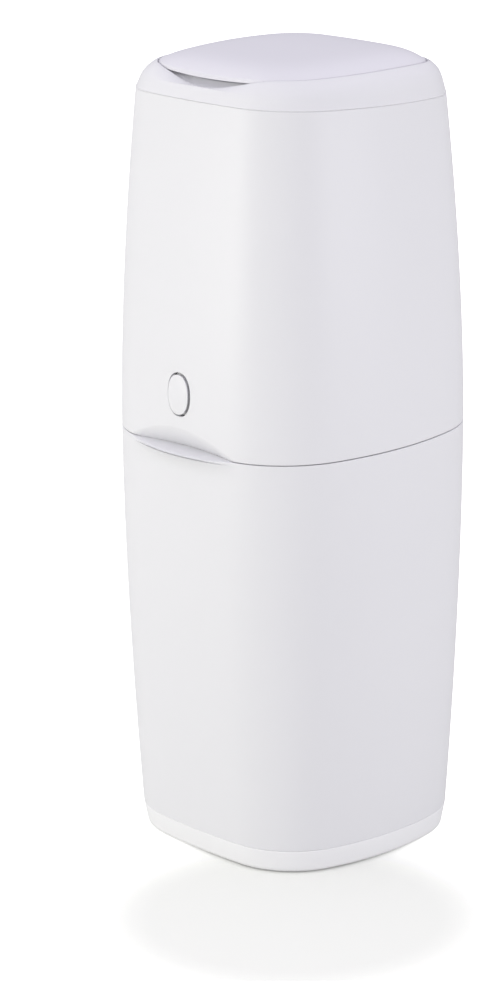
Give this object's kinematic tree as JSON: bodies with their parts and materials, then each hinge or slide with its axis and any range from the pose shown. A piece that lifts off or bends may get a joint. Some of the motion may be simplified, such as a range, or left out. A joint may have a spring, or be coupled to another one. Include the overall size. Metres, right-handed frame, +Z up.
{
  "type": "nappy bin",
  "caption": "Barrel-shaped nappy bin whose upper half tilts back, with a domed hinged lid, a film cassette, sprung clamp jaws and a press-button latch.",
  "frame": {"origin": "on the floor, under the middle of the body", "axes": "+Z up, -Y towards the front with the button, +X to the right as seen from the front"},
  "size_m": [0.234, 0.248, 0.5975],
  "materials": {
    "shell_white": "satin gloss",
    "plinth_white": "satin gloss",
    "lid_white": "satin gloss, slightly lavender",
    "rubber": "matt",
    "seal": "matt",
    "steel": "zinc plated",
    "grey_plastic": "fine matt texture",
    "tub_grey": "smooth",
    "cap_blue": "smooth dark blue",
    "film": "folded film"
  },
  "bodies": {
    "base": {"lower_shell": "shell_white", "base_plinth": "plinth_white", "rubber_feet": "rubber", "plinth_screws": "steel", "latch_keeper": "grey_plastic", "keeper_screws": "steel", "hinge_leaf_lower": "shell_white", "leaf_screws_lower": "steel", "bucket_hinge_pin": "steel"},
    "upper": {"upper_shell": "shell_white", "hinge_leaf_upper": "shell_white", "leaf_screws_upper": "steel", "crown": "shell_white", "crown_screws": "steel", "inner_deck": "shell_white", "clamp_frame": "shell_white", "clamp_cover": "shell_white", "clamp_screws": "steel", "cutter_housing": "grey_plastic", "cutter_blade": "steel", "cassette_tub": "tub_grey", "cassette_core": "tub_grey", "cassette_cap": "cap_blue", "film_pack": "film", "latch_bracket": "grey_plastic", "latch_pin": "steel", "lid_hinge_pins": "steel", "jaw_spring_left": "steel", "jaw_spring_right": "steel", "button_spring": "steel"},
    "lid": {"lid": "lid_white", "lid_liner": "shell_white", "lid_seal": "seal"},
    "jaw_left": {"jaw_left": "grey_plastic", "jaw_grip_left": "rubber"},
    "jaw_right": {"jaw_right": "grey_plastic", "jaw_grip_right": "rubber"},
    "button": {"release_button": "shell_white"},
    "lever": {"latch_lever": "grey_plastic"}
  },
  "joints": [
    {"name": "body_tilt", "type": "hinge", "parent": "base", "child": "upper", "pos_m": [0, 0.1183, 0.32084], "axis": [-1, 0, 0], "range_deg": [0, 90]},
    {"name": "lid_swing", "type": "hinge", "parent": "upper", "child": "lid", "pos_m": [0, 0.08844, 0.58289], "axis": [-1, 0, 0], "range_deg": [0, 100]},
    {"name": "jaw_left_slide", "type": "slide", "parent": "upper", "child": "jaw_left", "axis": [-1, 0, 0], "range_m": [0, 0.03], "stiffness_N_per_m": 150, "springref_m": -0.01, "deforming": ["jaw_spring_left"]},
    {"name": "jaw_right_slide", "type": "slide", "parent": "upper", "child": "jaw_right", "axis": [1, 0, 0], "range_m": [0, 0.03], "stiffness_N_per_m": 150, "springref_m": -0.01, "deforming": ["jaw_spring_right"]},
    {"name": "button_press", "type": "slide", "parent": "upper", "child": "button", "axis": [0, 1, 0], "range_m": [0, 0.004], "stiffness_N_per_m": 400, "springref_m": -0.002, "deforming": ["button_spring"]},
    {"name": "latch_turn", "type": "hinge", "parent": "upper", "child": "lever", "pos_m": [0, -0.088, 0.392], "axis": [1, 0, 0], "range_deg": [0, 6.5]}
  ],
  "couplings": [
    {"joint": "latch_turn", "follows": "button_press", "rad_per_m": 27.778}
  ]
}
